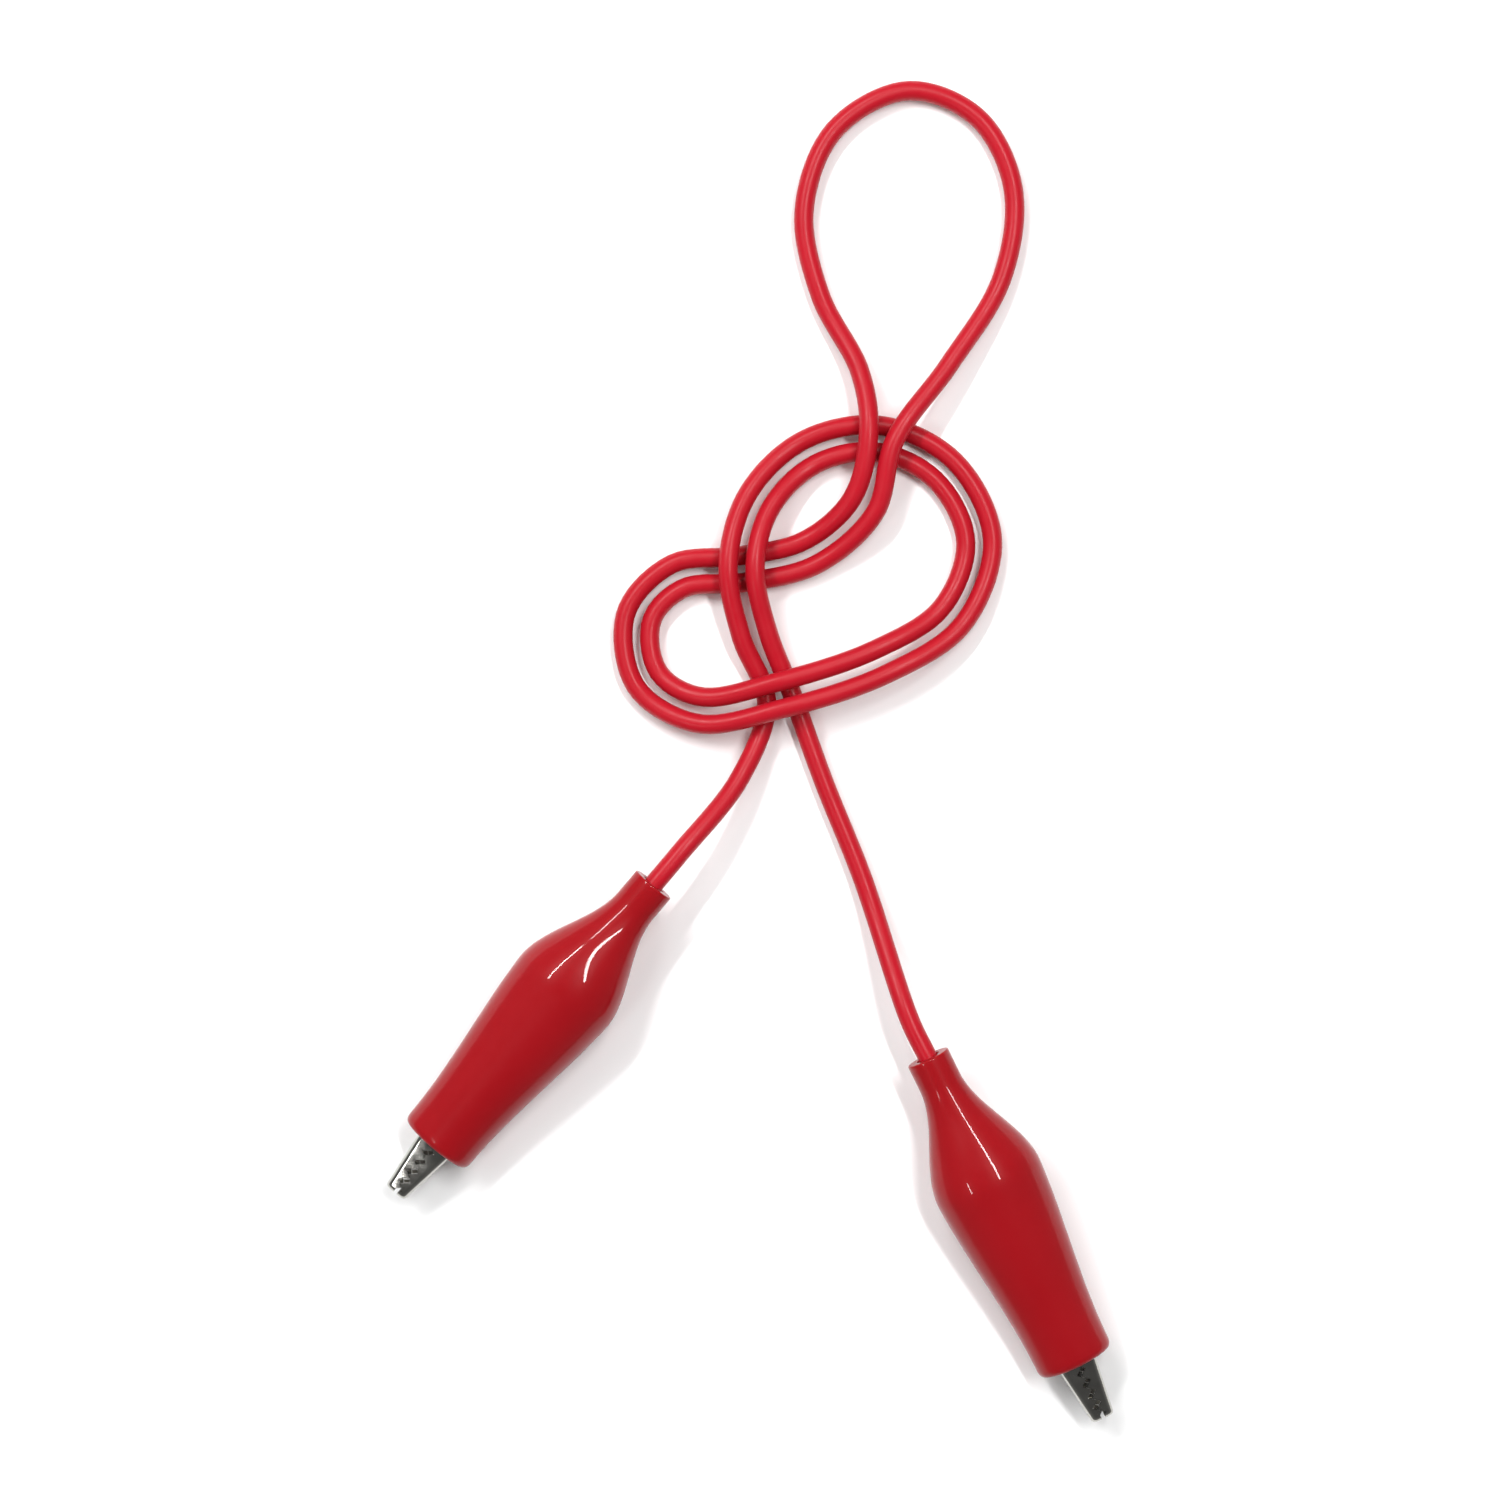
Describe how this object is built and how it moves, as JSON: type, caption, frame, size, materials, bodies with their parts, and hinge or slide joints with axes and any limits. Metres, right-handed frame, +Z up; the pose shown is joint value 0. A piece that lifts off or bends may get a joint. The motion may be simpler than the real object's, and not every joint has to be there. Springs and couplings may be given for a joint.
{
  "type": "alligator clip lead",
  "caption": "Flexible red test lead, doubled and loosely knotted, with a vinyl-booted spring alligator clip on each end.",
  "frame": {"origin": "centre of the flat strip that clip a's boot rests on, on the floor", "axes": "+Z up from the floor that the lead lies on; +Y from the clips towards the wire's loop; +X to the right, from clip a towards clip b"},
  "size_m": [0.0809, 0.1498, 0.0102],
  "materials": {
    "wire_cover": "satin-gloss red PVC",
    "boot_vinyl": "high-gloss red vinyl, slightly translucent",
    "jaw_plate": "bright nickel-plated steel sheet",
    "rivet_steel": "plated steel",
    "spring_wire": "drawn spring steel wire",
    "copper_strands": "bare stranded copper"
  },
  "bodies": {
    "lead": {"lead_wire": "wire_cover", "boot_a": "boot_vinyl", "boot_b": "boot_vinyl", "fixed_jaw_a": "jaw_plate", "fixed_jaw_b": "jaw_plate", "pivot_rivet_a": "rivet_steel", "pivot_rivet_b": "rivet_steel", "torsion_spring_a": "spring_wire", "torsion_spring_b": "spring_wire", "conductor_end_a": "copper_strands", "conductor_end_b": "copper_strands"},
    "jaw_a": {"moving_jaw_a": "jaw_plate"},
    "jaw_b": {"moving_jaw_b": "jaw_plate"}
  },
  "joints": [
    {"name": "jaw_a_hinge", "type": "hinge", "parent": "lead", "child": "jaw_a", "pos_m": [-0.00193, -0.0023, 0.00417], "axis": [-0.0446, -0.0531, 0.9976], "range_deg": [0, 27], "stiffness_Nm_per_rad": 0.05, "springref_deg": -28.65, "deforming": ["torsion_spring_a", "boot_a"]},
    {"name": "jaw_b_hinge", "type": "hinge", "parent": "lead", "child": "jaw_b", "pos_m": [0.05971, -0.02529, 0.00417], "axis": [0.0304, -0.0623, 0.9976], "range_deg": [0, 27], "stiffness_Nm_per_rad": 0.05, "springref_deg": -28.65, "deforming": ["torsion_spring_b", "boot_b"]}
  ]
}
